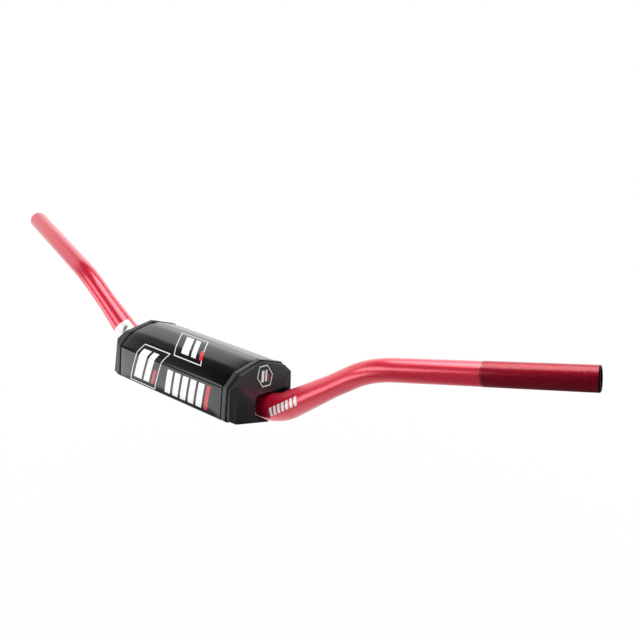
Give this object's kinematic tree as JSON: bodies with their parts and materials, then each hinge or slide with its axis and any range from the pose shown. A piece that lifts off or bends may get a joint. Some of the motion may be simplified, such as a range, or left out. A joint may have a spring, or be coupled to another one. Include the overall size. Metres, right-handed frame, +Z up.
{
  "type": "motocross handlebar",
  "caption": "Red oversize motocross handlebar: a bent alloy tube tapering to straight grip ends, one knurled, with a black faceted block pad strapped over its middle.",
  "frame": {"origin": "on the tube's centreline, half way between its ends, in the middle of the straight part that the clamps hold", "axes": "+X to the rider's left, the knurled end, along the straight middle; +Y to the rear, towards the rider, the way the grips sweep back; +Z up, the way the bar rises"},
  "size_m": [0.8172, 0.1244, 0.1318],
  "materials": {
    "anodised_tube": "satin red anodised",
    "foam": "matte closed-cell foam",
    "cover": "glossy coated fabric",
    "cap": "satin moulded",
    "badge": "gloss",
    "webbing": "woven",
    "hook": "hook tape"
  },
  "bodies": {
    "root": {"handlebar_tube": "anodised_tube", "foam_core": "foam", "pad_cover": "cover", "end_cap_left": "cap", "end_cap_right": "cap", "end_badge_left": "badge", "end_badge_right": "badge", "strap_left": "webbing", "strap_right": "webbing", "hook_tape_left": "hook", "hook_tape_right": "hook"}
  },
  "joints": []
}
